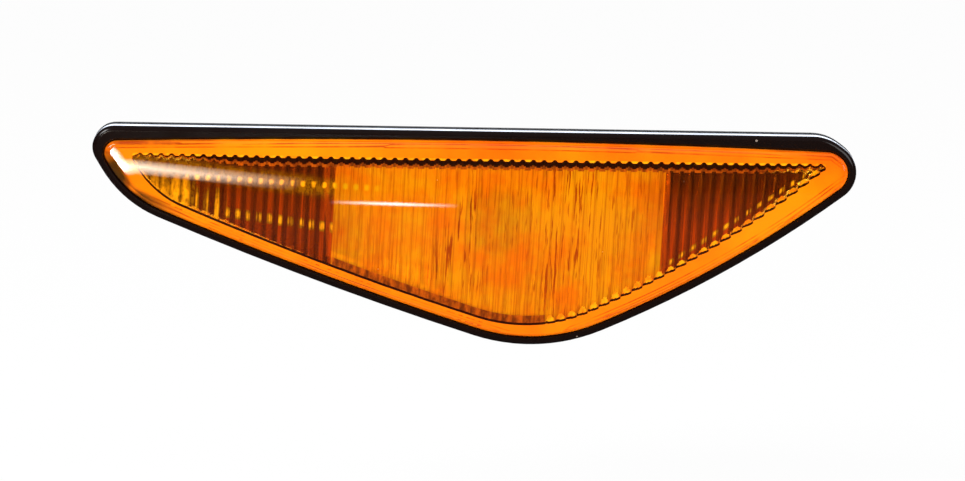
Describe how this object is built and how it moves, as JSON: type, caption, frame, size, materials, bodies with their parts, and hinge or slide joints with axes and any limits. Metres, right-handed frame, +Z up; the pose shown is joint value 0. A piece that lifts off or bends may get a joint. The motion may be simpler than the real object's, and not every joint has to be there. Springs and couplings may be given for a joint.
{
  "type": "side repeater lamp",
  "caption": "Amber side repeater lamp for a car wing: crowned fluted lens in a black rimmed housing, with a silvered reflector, panel gasket and a wedge bulb in a twist-lock holder.",
  "frame": {"origin": "on the axis of the bulb holder, in the plane of the panel that the gasket seats on", "axes": "+X along the lamp towards its pointed right end as seen from the front, +Y back through the panel, +Z up; the lens faces -Y"},
  "size_m": [0.1443, 0.0453, 0.0421],
  "materials": {
    "amber_lens": "clear amber acrylic, polished outside, fluted inside",
    "black_housing": "black moulded plastic, gloss rim",
    "silvered": "vacuum-silvered plastic",
    "foam_rubber": "matt closed-cell rubber",
    "grey_holder": "matt glass-filled nylon",
    "terminal_brass": "bright stamped strip",
    "clear_glass": "clear drawn glass",
    "lamp_wire": "plain drawn wire"
  },
  "bodies": {
    "lamp": {"lens": "amber_lens", "housing": "black_housing", "reflector": "silvered", "body_gasket": "foam_rubber"},
    "bulb_holder": {"bulb_holder": "grey_holder", "holder_seal": "foam_rubber", "terminal_upper": "terminal_brass", "terminal_lower": "terminal_brass", "bulb_glass": "clear_glass", "filament": "lamp_wire", "lead_wire_upper": "lamp_wire", "lead_wire_lower": "lamp_wire"}
  },
  "joints": [
    {"name": "bulb_holder_twist", "type": "hinge", "parent": "lamp", "child": "bulb_holder", "pos_m": [0, 0, 0], "axis": [0, 1, 0], "range_deg": [0, 45]}
  ]
}
